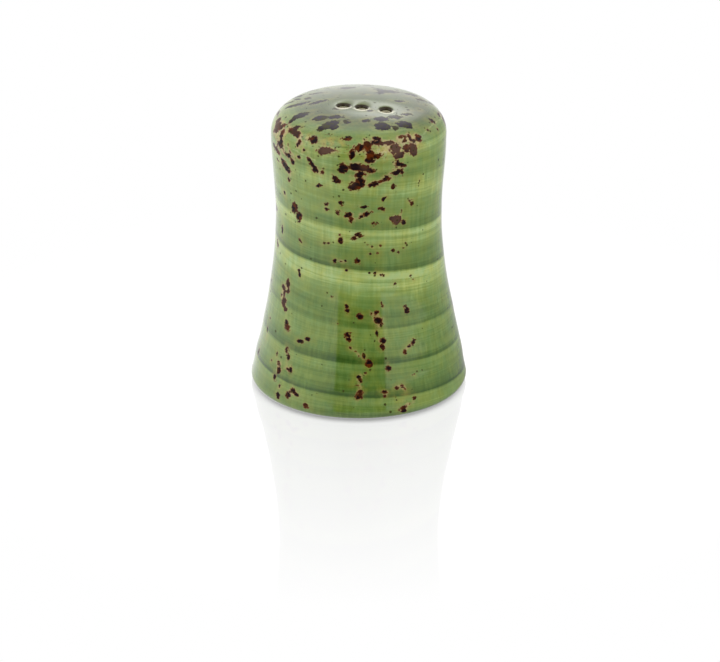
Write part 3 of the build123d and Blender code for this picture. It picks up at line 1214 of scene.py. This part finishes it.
@dataclass
class PorcelainBody:
    """The one-piece body: outside, pour holes, chamber, filling hole and foot."""

    outline: BodyOutline
    segments: int = 320
    pour_hole_spots: tuple = ((-3.85, -3.05), (0.8, -4.25), (6.85, -5.45))
    pour_hole_radius: float = 1.35
    pour_hole_lip: float = 0.75
    pour_hole_inner_lip: float = 0.4
    pour_hole_points: int = 56
    lip_steps: int = 7             # strips of faces over the lip of a pour hole, and over its inner lip
    inner_lip_steps: int = 3
    uneven: float = 0.045          # share by which a pour hole leaves its circle
    # depth and reach of the hollows in which the crown sinks about each punched hole
    dimples: tuple = ((0.12, 2.9), (0.14, 1.5))
    # hollows of the crown apart from those: x, y, depth and reach
    hollows: tuple = ((1.0, -2.4, 0.13, 1.1), (-3.5, -1.3, 0.07, 1.1))
    # width of the thin glaze and its painted glint, widest on the front lips
    thin_glint_width: float = 0.80
    pooled_depth: float = 0.85     # how far down its lip the brown glaze and painted shade of a pour hole reach
    # the painted shade behind each hole, dark olive: its strengths, how far behind, and its half-axes
    hole_back_shades: tuple = (0.80, 0.95, 0.85)
    hole_shade_behind: float = 2.2
    hole_shade_axes: tuple = (2.7, 2.3)
    ripple: float = 0.025          # rise and fall of the surface along the stroke
    ripple_ends: tuple = (6.0, 4.0)      # it fades in over so much above the foot, and out at the shoulder
    # height, reach, size and lopsidedness to the right of the swells that the hand left
    swells: tuple = ((16.0, 13.0, 0.40, 0.55), (7.0, 3.2, 0.22, 0.0))
    # heights along the outside, from the table, at which the stroke passes the front
    stroke_climbs: tuple = (-0.8, 7.5, 16.2, 25.4, 40.7, 51.2, 66.4, 73.0, 79.0, 85.0, 91.0, 98.0)
    # turn in degrees, height, reach and share of the places where the glaze turned tan
    scorched: tuple = (
        (-72, 71.6, 3.0, 0.9), (-62, 71.8, 2.4, 0.9), (-44, 72.0, 1.2, 1.0), (-38, 72.0, 1.3, 0.9),
        (-22, 72.6, 2.4, 0.70), (-14, 71.6, 2.2, 0.66), (-8, 71.2, 1.8, 0.45), (5, 70.4, 2.2, 0.6),
        (15, 70.2, 2.2, 1.0), (20, 70.8, 1.6, 0.9), (33, 71.4, 2.4, 0.9), (42, 71.6, 2.2, 0.9),
        (-2, 66.4, 2.0, 0.3), (0, 9.5, 2.0, 0.35), (24, 6.0, 2.6, 0.35), (150, 71.0, 4.0, 0.8),
        (-125, 70.0, 3.4, 0.8))
    # turn and height of the points along each painted highlight line on the shoulder
    highlight_lines: tuple = (((91, 71.6), (80, 72.3), (67, 72.8), (57, 72.5), (48, 71.8)),
                    ((-67, 68.5), (-55, 68.8), (-44, 68.6), (-36, 68.0), (-29, 67.5)))
    # turn, height, reach and share of the places where the flakes have a painted grey sheen of mirrored
    # light
    sheened: tuple = (
        (25, 70.6, 2.2, 1.0), (39, 69.8, 2.0, 0.8), (19, 71.8, 1.4, 0.7), (-21, 70.4, 2.4, 1.0),
        (26, 51.4, 1.8, 0.8), (-56, 27.0, 4.0, 0.5), (-50, 72.6, 2.0, 0.45), (-74, 71.4, 3.0, 0.5),
        (-5, 62.4, 1.2, 0.4), (4, 66.6, 1.2, 0.4), (-150, 70.0, 4.0, 0.8), (120, 71.0, 3.0, 0.8))
    glaze: BrushedGlaze = field(default_factory=BrushedGlaze)
    clear: ClearGlaze = field(default_factory=ClearGlaze)
    bare: BarePorcelain = field(default_factory=BarePorcelain)

    skin_map = MapPatch(0.004, 0.004, 0.992, 0.600)
    hidden_map = MapPatch(0.004, 0.612, 0.992, 0.140)
    crown_map = MapPatch(0.006, 0.762, 0.226, 0.226)
    under_crown_map = MapPatch(0.244, 0.762, 0.150, 0.150)
    hole_maps = tuple(MapPatch(0.41 + 0.19 * index, 0.762, 0.18, 0.10) for index in range(3))

    def dimple(self, x: np.ndarray, y: np.ndarray) -> np.ndarray:
        """Measures how far the crown is sunk.

        Args:
            x: places to the right of the axis.
            y: places behind the axis.

        Returns:
            The depth at each place.
        """
        sunk = np.zeros_like(np.asarray(x, float))
        dimples = tuple((*spot, *dimple) for spot in self.pour_hole_spots for dimple in self.dimples)
        for middle_x, middle_y, depth, reach in dimples + self.hollows:
            away = np.hypot(x - middle_x, y - middle_y)
            sunk = sunk + depth * np.exp(-np.square(away / reach) / 2)
        return sunk

    def hole_ring(self, index: int, radius: float) -> np.ndarray:
        """Draws a ring about a pour hole, a little out of round.

        Args:
            index: which hole.
            radius: the ring's mean radius.

        Returns:
            The x and y of each of its points.
        """
        turn = np.linspace(0, 2 * pi, self.pour_hole_points, endpoint=False)
        bent = 1 + self.uneven * np.cos(2 * turn + 1.9 * index) \
            + self.uneven / 2 * np.cos(3 * turn + 0.7 + index)
        spot = np.array(self.pour_hole_spots[index])
        return spot + (radius * bent)[:, None] * np.column_stack((np.cos(turn), np.sin(turn)))

    def lattice(self, hole_radius: float, spacing: float) -> np.ndarray:
        """Spreads points over the crown's middle patch, clear of its edge and holes.

        Args:
            hole_radius: radius of the rings about the holes.
            spacing: distance between the points.

        Returns:
            The x and y of each point.
        """
        clear = spacing * 0.7
        reach = self.outline.crown_patch_radius - clear
        plan = []
        for number, row in enumerate(np.arange(-reach, reach, spacing * 0.87)):
            shift = spacing / 2 * (number % 2)
            plan += [(x, row) for x in np.arange(-reach + shift, reach, spacing)]
        plan = np.array(plan)
        keep = np.hypot(*plan.T) < reach
        for spot in self.pour_hole_spots:
            keep &= np.hypot(*(plan - spot).T) > hole_radius * (1 + self.uneven) + clear
        return plan[keep]

    def triangles(self, plan: np.ndarray, rings: Sequence[np.ndarray]) -> np.ndarray:
        """Fills the crown's patch with triangles.

        Args:
            plan: all its points, those of the rings first.
            rings: the ring around it, then the ring about each hole.

        Returns:
            The three point numbers of each triangle; none lies in a hole.
        """
        borders, first = [], 0
        for ring in rings:
            numbers = np.arange(first, first + len(ring))
            borders += np.column_stack((numbers, np.roll(numbers, -1))).tolist()
            first += len(ring)
        made = delaunay_2d_cdt([Vector(point) for point in plan.tolist()], borders, [], 0, 1e-7)
        triangles = np.array(made[2])
        middles = plan[triangles].mean(axis=1)
        hollow = np.zeros(len(triangles), bool)
        for ring, spot in zip(rings[1:], self.pour_hole_spots):
            turn = np.arctan2(*(middles - spot).T[::-1]) % (2 * pi)
            limits = np.hypot(*(ring - spot).T)
            limit = np.interp(turn, np.linspace(0, 2 * pi, len(ring) + 1), np.append(limits, limits[0]))
            hollow |= np.hypot(*(middles - spot).T) < limit * 0.999
        return triangles[~hollow]

    def crown_patch(self, draft: MeshDraft, edge: np.ndarray, inset: float, hole_radius: float,
                    spacing: float, under: bool) -> list[np.ndarray]:
        """Fills the middle of the crown, or of its underside, around the pour holes.

        Args:
            draft: the mesh to add to.
            edge: point numbers of the ring around the patch.
            inset: 0 on top, the wall's thickness below.
            hole_radius: radius of the rings about the holes.
            spacing: distance between the points of the patch.
            under: turns the faces downwards.

        Returns:
            The point numbers of the ring about each hole.
        """
        outline = self.outline
        rim = draft.positions()[edge][:, :2]
        rings = [self.hole_ring(index, hole_radius) for index in range(len(self.pour_hole_spots))]
        plan = np.vstack([rim] + rings + [self.lattice(hole_radius, spacing)])
        triangles = self.triangles(plan, [rim] + rings)
        side_a = plan[triangles[:, 1]] - plan[triangles[:, 0]]
        side_b = plan[triangles[:, 2]] - plan[triangles[:, 0]]
        clockwise = side_a[:, 0] * side_b[:, 1] - side_a[:, 1] * side_b[:, 0] < 0
        turned = clockwise != under
        triangles[turned] = triangles[turned][:, ::-1]

        height = outline.dome_height(np.hypot(*plan.T), inset)
        if not under:
            height = height - self.dimple(*plan.T)
        added = draft.add(np.column_stack((plan, height))[len(rim):])
        numbers = np.concatenate((edge, added))
        patch = self.under_crown_map if under else self.crown_map
        skin = Skin.CLEAR_GLAZE if under else Skin.BRUSHED_GLAZE
        corners = plan[triangles] / (2 * outline.crown_patch_radius) + 0.5
        draft.add_faces(numbers[triangles], patch.place(corners), skin)
        return np.split(added, np.cumsum([len(ring) for ring in rings]))[:-1]

    def hole_wall(self, draft: MeshDraft, index: int, top: np.ndarray, bottom: np.ndarray) -> None:
        """Joins the rings of one pour hole, over its lip, down its wall and out below.

        Args:
            draft: the mesh to add to.
            index: which hole.
            top: point numbers of the ring on the crown.
            bottom: point numbers of the ring under the crown.
        """
        lip, inner_lip, radius = self.pour_hole_lip, self.pour_hole_inner_lip, self.pour_hole_radius
        outline = self.outline
        rings = [top]
        steps = self.lip_steps
        for step in range(1, steps + 1):
            turn = pi / 2 * step / steps
            plan = self.hole_ring(index, radius + lip * (1 - sin(turn)))
            surface = outline.dome_height(np.hypot(*plan.T)) - self.dimple(*plan.T)
            rings.append(draft.add(np.column_stack((plan, surface - lip * (1 - cos(turn))))))
        wall_plan = self.hole_ring(index, radius)
        wall_top = draft.positions()[rings[-1]][:, 2]
        below = outline.dome_height(np.hypot(*wall_plan.T), outline.wall)
        wall_bottom = below + inner_lip
        for share in (0.33, 0.67, 1.0):
            level = wall_top + (wall_bottom - wall_top) * share
            rings.append(draft.add(np.column_stack((wall_plan, level))))
        for step in range(1, self.inner_lip_steps):
            turn = pi / 2 * step / self.inner_lip_steps
            plan = self.hole_ring(index, radius + inner_lip * (1 - cos(turn)))
            surface = outline.dome_height(np.hypot(*plan.T), outline.wall)
            rings.append(draft.add(np.column_stack((plan, surface + inner_lip * (1 - sin(turn))))))
        rings.append(bottom)
        rows = np.linspace(1, 0, len(rings))
        draft.skin_rings(rings[:steps + 1], rows[:steps + 1], Skin.BRUSHED_GLAZE,
                         self.hole_maps[index], flip=True)
        draft.skin_rings(rings[steps:], rows[steps:], Skin.CLEAR_GLAZE, self.hole_maps[index], flip=True)

    def brush_turns(self, positions: np.ndarray, skin: np.ndarray) -> np.ndarray:
        """Counts the turns of the stroke below each point.

        Args:
            positions: the points, one row for each.
            skin: the outside's outline, the highest point first.

        Returns:
            The turns up to the height of each point, as they lie at the front.
        """
        upward = skin[::-1]
        lengths = path_length(upward)
        full = lengths[-1] + self.outline.dome_radius * np.arcsin(
            self.outline.crown_patch_radius / self.outline.dome_radius)
        radius = np.hypot(positions[:, 0], positions[:, 1])
        on_dome = radius < self.outline.crown_radius - self.outline.shoulder_radius
        high = positions[:, 2] > self.outline.shoulder_height
        by_height = np.interp(positions[:, 2], upward[:, 1], lengths)
        by_radius = full - self.outline.dome_radius * np.arcsin(
            np.minimum(radius / self.outline.dome_radius, 1))
        climbs = np.where(on_dome & high, by_radius, by_height)
        turns = np.arange(len(self.stroke_climbs)) - 1
        return np.interp(climbs, self.stroke_climbs, turns)

    def ripples(self, positions: np.ndarray, turns: np.ndarray) -> np.ndarray:
        """Moves points in and out a little along the stroke, and by hand.

        Args:
            positions: the points, one row for each.
            turns: the turns of the stroke below each of them.

        Returns:
            The moved points.
        """
        radius = np.hypot(positions[:, 0], positions[:, 1])
        around = np.arctan2(positions[:, 0], -positions[:, 1])
        height = positions[:, 2]
        outline = self.outline
        share = np.clip((height - outline.foot_edge_radius * 2) / self.ripple_ends[0], 0, 1) \
            * np.clip((outline.shoulder_height + 2 - height) / self.ripple_ends[1], 0, 1)
        crest, slow = 1.5, 0.5        # at its crest the surface stays on the outline
        wave = np.cos(2 * pi * turns + around) + slow * np.cos(2 * around + height / 17)
        moved = radius - share * self.ripple * (crest - wave)
        for middle, reach, out, lopsided in self.swells:
            moved += share * out * np.exp(-np.square((height - middle) / reach)) \
                * (1 - lopsided + lopsided * np.sin(around))
        scale = (moved / np.maximum(radius, 1e-6))[:, None]
        return np.hstack((positions[:, :2] * scale, positions[:, 2:]))

    def build(self) -> bpy.types.Object:
        """Builds the body's mesh with its finishes.

        Returns:
            The finished piece.
        """
        outline, draft = self.outline, MeshDraft()
        outside = outline.outside()
        lines = ((outside, Skin.BRUSHED_GLAZE), (outline.foot_ring(), Skin.BARE_PORCELAIN),
                 (outline.underside(), Skin.CLEAR_GLAZE), (outline.chamber(), Skin.CLEAR_GLAZE))
        hidden = chain(*(points for points, _ in lines[1:]))
        hidden_length = path_length(hidden)[-1]
        rings, passed, outside_count = [], 0.0, 0
        for points, skin in lines:
            lengths = path_length(points)
            new_points = points if not rings else points[1:]
            stretch = rings[-1:] + [draft.add_ring(*point, self.segments) for point in new_points]
            if skin is Skin.BRUSHED_GLAZE:
                rows, patch = 1 - lengths / lengths[-1], self.skin_map
                outside_count = draft.count
            else:
                rows, patch = 1 - (passed + lengths) / hidden_length, self.hidden_map
                passed += lengths[-1]
            draft.skin_rings(stretch, rows, skin, patch)
            rings += stretch[1:] if rings else stretch
        tops = self.crown_patch(draft, rings[0], 0.0, self.pour_hole_radius + self.pour_hole_lip,
                                outline.even, under=False)
        bottoms = self.crown_patch(draft, rings[-1], outline.wall,
                                   self.pour_hole_radius + self.pour_hole_inner_lip,
                                   outline.coarse, under=True)
        for index, (top, bottom) in enumerate(zip(tops, bottoms)):
            self.hole_wall(draft, index, top, bottom)

        positions = draft.positions()
        ring_points = np.zeros(len(positions), bool)
        ring_points[:outside_count] = True
        dome_ring = ring_points & (positions[:, 2] > outline.shoulder_height)
        positions[dome_ring, 2] -= self.dimple(positions[dome_ring, 0], positions[dome_ring, 1])
        turns = self.brush_turns(positions, outside)
        positions[ring_points] = self.ripples(positions[ring_points], turns[ring_points])

        body = draft.build("shaker_body_glazed", positions,
                           [self.glaze.material(), self.clear.material(), self.bare.material()])
        nearest, ragged, crowd = FlakePattern(outline).distances(positions)
        numbers = {"brush_turn": turns, "flake_distance": nearest, "flake_coarse": ragged,
                   "flake_crowd": crowd, "scorch": self.spots_at(positions, self.scorched),
                   "flake_sheen": self.spots_at(positions, self.sheened),
                   "highlight_line_distance": self.highlight_line_distance(positions), **self.lip_glaze_at(positions)}
        for name, values in numbers.items():
            write_number(body, name, values)
        log.info("%s has %d faces", body.name, len(body.data.polygons))
        return body

    def spots_at(self, positions: np.ndarray, spots: Sequence[tuple]) -> np.ndarray:
        """Measures how far each point lies in one of the spots of a list.

        Args:
            positions: the points, one row for each.
            spots: turn in degrees, height, reach and share of each spot.

        Returns:
            A number from 0, outside, to about 1 for each point.
        """
        side = FlakePattern(self.outline)
        most = np.zeros(len(positions))
        for turn, height, reach, share in spots:
            centre = side.on_side(turn, height).centre
            away = np.linalg.norm(positions - centre, axis=1)
            most = np.maximum(most, share * np.clip(1.5 - away / reach, 0, 1))
        return most

    def highlight_line_distance(self, positions: np.ndarray) -> np.ndarray:
        """Measures how far each point lies from the nearest painted highlight line.

        Args:
            positions: the points, one row for each.

        Returns:
            The distances, cut off well outside the lines.
        """
        side = FlakePattern(self.outline)
        nearest = np.full(len(positions), 4.0)
        for highlight_line in self.highlight_lines:
            corners = [side.on_side(turn, height).centre for turn, height in highlight_line]
            for start, end in zip(corners, corners[1:]):
                along = end - start
                share = np.clip((positions - start) @ along / (along @ along), 0, 1)
                foot = start + share[:, None] * along
                nearest = np.minimum(nearest, np.linalg.norm(positions - foot, axis=1))
        return nearest

    def lip_glaze_at(self, positions: np.ndarray) -> dict[str, np.ndarray]:
        """Measures how the glaze changed about the pour holes.

        It ran thin over their front lips, painted pale there also as a glint; it pooled brown in their
        back lips, painted darker there also as the holes' shade; and dark olive painted shade lies behind
        them, where the hollow mirrors the dark gap around the camera.

        Args:
            positions: the points, one row for each.

        Returns:
            The numbers from 0 to 1 for each point, by the name of the change.
        """
        x, y, z = positions.T
        sunk = self.outline.dome_height(np.hypot(x, y)) - self.dimple(x, y) - z
        crown = sunk < self.outline.wall + 0.5
        reach = self.pour_hole_radius + self.pour_hole_lip
        thin_glaze_glint, pooled, hole_back_shade = np.zeros((3, len(positions)))
        for (spot_x, spot_y), strength in zip(self.pour_hole_spots, self.hole_back_shades):
            away = np.hypot(x - spot_x, y - spot_y)
            front = (spot_y - y) / np.maximum(away, 1e-6)
            width = self.thin_glint_width * (0.55 + 0.45 * front)
            edge = self.pour_hole_radius + 0.20 + 0.50 * front
            # thin glaze and a painted glint, widest on the front lips
            thin_glaze_glint = np.maximum(thin_glaze_glint, np.clip(1 - (away - edge) / width, 0, 1) * (front > -0.6))
            # pooled glaze with painted shade, on the back lips that face the front
            lining = np.clip(sunk / 0.06, 0, 1) * np.clip((self.pooled_depth - sunk) / 0.2, 0, 1)
            pooled = np.maximum(pooled, lining * (away < reach + 0.1) * np.clip(0.9 - front, 0, 1))
            # painted shade behind the hole
            behind = (np.square((x - spot_x) / self.hole_shade_axes[0])
                      + np.square((y - spot_y - self.hole_shade_behind) / self.hole_shade_axes[1]))
            hole_back_shade = np.maximum(hole_back_shade, strength * np.exp(-behind))
        return {"glaze_thin_and_glint": thin_glaze_glint * crown, "glaze_pooled_and_shade": pooled * crown, "painted_hole_shade": hole_back_shade * crown}


@dataclass
class BaseStopper:
    """The soft stopper in the base. Its shape is the frame's own."""

    node: bpy.types.Object
    silicone: StopperSilicone = field(default_factory=StopperSilicone)

    def dress(self) -> None:
        """Gives the stopper its finish."""
        material = self.silicone.material()
        if not self.node.material_slots:
            self.node.data.materials.append(material)
        for place in self.node.material_slots:
            place.material = material


# --- Studio ----------------------------------------------------------------------------------


@dataclass(frozen=True)
class Softbox:
    """A soft light in the studio's surround, or a dark patch where its level is below 0.

    Its direction, its size and its blur, half the width of its soft edge, are in degrees.
    """

    azimuth: float
    elevation: float
    width: float
    height: float
    level: float
    blur: float = 4.0


@dataclass
class Studio:
    """Camera, surround and table top around the shaker."""

    camera_place: tuple = (0.325, -835.3, 374.6)
    camera_pitch: float = 23.421
    lens: float = 175.13
    room_level: float = 1.05
    boxes: tuple = (
        Softbox(1.0, -2.0, 55.0, 28.0, -1.00, 1.5),       # the dark gap around the camera
        Softbox(1.0, 31.0, 52.0, 40.0, -0.55, 3.0),       # and a dim field above it
        Softbox(-68.0, 36.0, 72.0, 46.0, 0.80, 8.0),      # large lights to the left and right
        Softbox(68.0, 36.0, 72.0, 46.0, 0.74, 8.0),
        Softbox(202.0, 21.0, 88.0, 58.0, 0.35, 10.0),     # a light behind, with a hot middle
        Softbox(176.0, 29.5, 11.0, 10.0, 2.00, 4.5),
        Softbox(180.0, 60.0, 110.0, 32.0, 0.45, 8.0),     # a light above the back
        Softbox(135.0, -10.0, 60.0, 40.0, -0.40, 8.0))    # a dark corner low on the right
    table_radius: float = 215.0
    table_points: int = 96
    table_white: float = 0.85
    shadow_reach: float = 3.6
    shadow_range: tuple = (0.10, 0.72)        # shares of open sky in full shadow and out of it
    shadow_lean: tuple = (0.0, 0.75, 0.66)    # the shadow is looked for towards the back
    contact_level: float = 0.40     # how light the table is where the foot meets it
    mirror_strength: float = 0.165
    mirror_start: float = 28.0      # the mirror image fades from the foot outwards
    mirror_reach: float = 100.0
    table_glow: float = 0.86
    table_lean: float = -0.38       # the table is darker to the right
    front_gap: float = 0.5          # the table in front of the shaker lies in the camera's dark gap
    gap_turns: tuple = (18.0, 42.0)           # degrees from the front where the gap fades
    gap_distances: tuple = (60.0, 36.0)       # and distances from the axis, going inwards

    def place_camera(self) -> None:
        """Puts the camera at its place, looking down at the shaker."""
        camera = bpy.data.objects.new("camera", bpy.data.cameras.new("camera"))
        camera.data.lens = self.lens
        camera.data.clip_start, camera.data.clip_end = 0.05, 10.0
        camera.location = Vector(self.camera_place) * METRES_PER_MM
        camera.rotation_euler = (radians(90 - self.camera_pitch), 0.0, 0.0)
        bpy.context.scene.collection.objects.link(camera)
        bpy.context.scene.camera = camera

    def light_surround(self) -> None:
        """Lights the scene from all round; the camera itself sees plain white."""
        world = bpy.data.worlds.new("surround")
        world.use_nodes = True
        bpy.context.scene.world = world
        sheet = NodeSheet(world.node_tree)
        x, y, z = sheet.wire("ShaderNodeTexCoord", output="Generated").split()
        azimuth, elevation = x.math("ARCTAN2", y * -1.0), z.math("ARCSINE")
        level = self.room_level
        for box in self.boxes:
            turned = (azimuth - radians(box.azimuth)).math("WRAP", pi, -pi)
            raised = elevation - radians(box.elevation)
            lit = box.level
            for offset, size in ((turned, box.width), (raised, box.height)):
                outer, inner = radians(size / 2 + box.blur), radians(size / 2 - box.blur)
                lit = abs(offset).step(outer, inner) * lit
            level = lit + level
        seen = sheet.wire("ShaderNodeLightPath", output="Is Camera Ray")
        strength = sheet.wire("ShaderNodeMix", {0: seen, 2: level, 3: 1.0})
        surround = sheet.wire("ShaderNodeBackground", {"Color": (1.0, 1.0, 1.0), "Strength": strength})
        sheet.node("ShaderNodeOutputWorld", {"Surface": surround})

    def table_material(self) -> bpy.types.Material:
        """Builds the white table top.

        It lights the shaker from below as a white board does. To the camera it is as white as
        the surround, with the shaker's shadow close to the foot and a faint mirror image.

        Returns:
            The new material.
        """
        material, sheet = new_material("white_table")
        path = sheet.node("ShaderNodeLightPath").outputs
        camera_ray, glossy_ray, through_ray = (
            Wire(sheet, path[name]) for name in ("Is Camera Ray", "Is Glossy Ray", "Is Transmission Ray"))
        place = sheet.position()
        x, y, _ = place.split()
        away = sheet.wire("ShaderNodeVectorMath", {0: place}, "Value", operation="LENGTH")

        open_sky = sheet.wire("ShaderNodeAmbientOcclusion",
                              {"Distance": self.shadow_reach * METRES_PER_MM,
                               "Normal": sheet.join(*self.shadow_lean)}, "AO", samples=24)
        sunlit = open_sky.step(*self.shadow_range) * (1.0 - self.contact_level) + self.contact_level
        shade = sheet.wire("ShaderNodeBsdfTransparent", {0: sheet.join(sunlit, sunlit, sunlit)})
        mirror = sheet.wire("ShaderNodeBsdfGlossy", {"Roughness": 0.0})
        faded = 1.0 - (away - self.mirror_start) / self.mirror_reach
        near = sheet.wire("ShaderNodeClamp", {"Value": faded})
        clear = sheet.wire("ShaderNodeBsdfTransparent")
        behind = sheet.wire("ShaderNodeNewGeometry", output="Backfacing")
        seen = sheet.layer(behind, sheet.layer(near * self.mirror_strength, shade, mirror), clear)

        board = sheet.wire("ShaderNodeBsdfDiffuse", {"Color": (self.table_white,) * 3})
        azimuth = abs(x.math("ARCTAN2", y * -1.0))
        aside = azimuth.step(*map(radians, self.gap_turns))
        ungapped = aside.math("MAXIMUM", away.step(*self.gap_distances))
        gap = ungapped * (1.0 - self.front_gap) + self.front_gap
        lean = x / away * self.table_lean + self.table_glow
        glow = sheet.wire("ShaderNodeEmission", {"Strength": gap * lean})
        unseen = sheet.layer(glossy_ray.math("MAXIMUM", through_ray), board, glow)
        sheet.surface(sheet.layer(camera_ray, unseen, seen))
        return material

    def lay_table(self) -> None:
        """Lays the round table top under the shaker."""
        turn = np.linspace(0, 2 * pi, self.table_points, endpoint=False)
        rim = np.column_stack((np.cos(turn), np.sin(turn), np.zeros_like(turn))) * self.table_radius
        mesh = bpy.data.meshes.new("table_top")
        mesh.from_pydata((rim * METRES_PER_MM).tolist(), [], [list(range(self.table_points))])
        mesh.materials.append(self.table_material())
        table = bpy.data.objects.new("table_top", mesh)
        bpy.context.scene.collection.objects.link(table)

    def build(self) -> None:
        """Sets up the whole studio."""
        self.place_camera()
        self.light_surround()
        self.lay_table()
        bpy.context.scene.view_settings.view_transform = "Standard"


def main() -> None:
    """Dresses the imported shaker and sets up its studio."""
    logging.basicConfig(level=logging.INFO, format="%(name)s: %(message)s")
    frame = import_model()
    _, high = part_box("shaker_body")
    outline = BodyOutline(body_height=high.z * MM_PER_METRE, foot_radius=high.x * MM_PER_METRE)

    body = PorcelainBody(outline).build()
    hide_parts("shaker_body")
    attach(body, "shaker")
    log.info("%s stands for the CAD body", body.name)

    stopper = BaseStopper(frame["nodes"]["base_stopper"])
    stopper.dress()
    log.info("%s has its silicone", stopper.node.name)

    Studio().build()
    log.info("studio is set")


if __name__ == "__main__":
    main()
